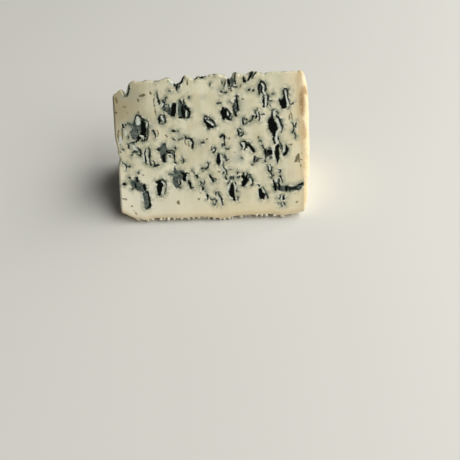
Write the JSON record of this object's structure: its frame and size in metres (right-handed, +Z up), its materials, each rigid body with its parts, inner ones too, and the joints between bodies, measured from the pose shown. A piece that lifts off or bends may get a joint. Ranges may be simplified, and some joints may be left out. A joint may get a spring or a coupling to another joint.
{
  "type": "blue-veined cheese wedge",
  "caption": "Wedge of blue-veined cheese with two broad cut faces, a ragged tip ridge on top, a rounded rind end and open moulded hollows in its cut faces.",
  "frame": {"origin": "middle of the bounding box, on the level that the cheese stands on", "axes": "+X along the ridge towards the rounded rind end, the broad leaning cut face towards -Y, +Z up"},
  "size_m": [0.0974, 0.0506, 0.0576],
  "materials": {
    "cheese_paste": "soft ivory cheese paste, slightly moist, with blue-green moulded hollows and a cream-yellow rind end"
  },
  "bodies": {
    "root": {"cheese_wedge": "cheese_paste"}
  },
  "joints": []
}
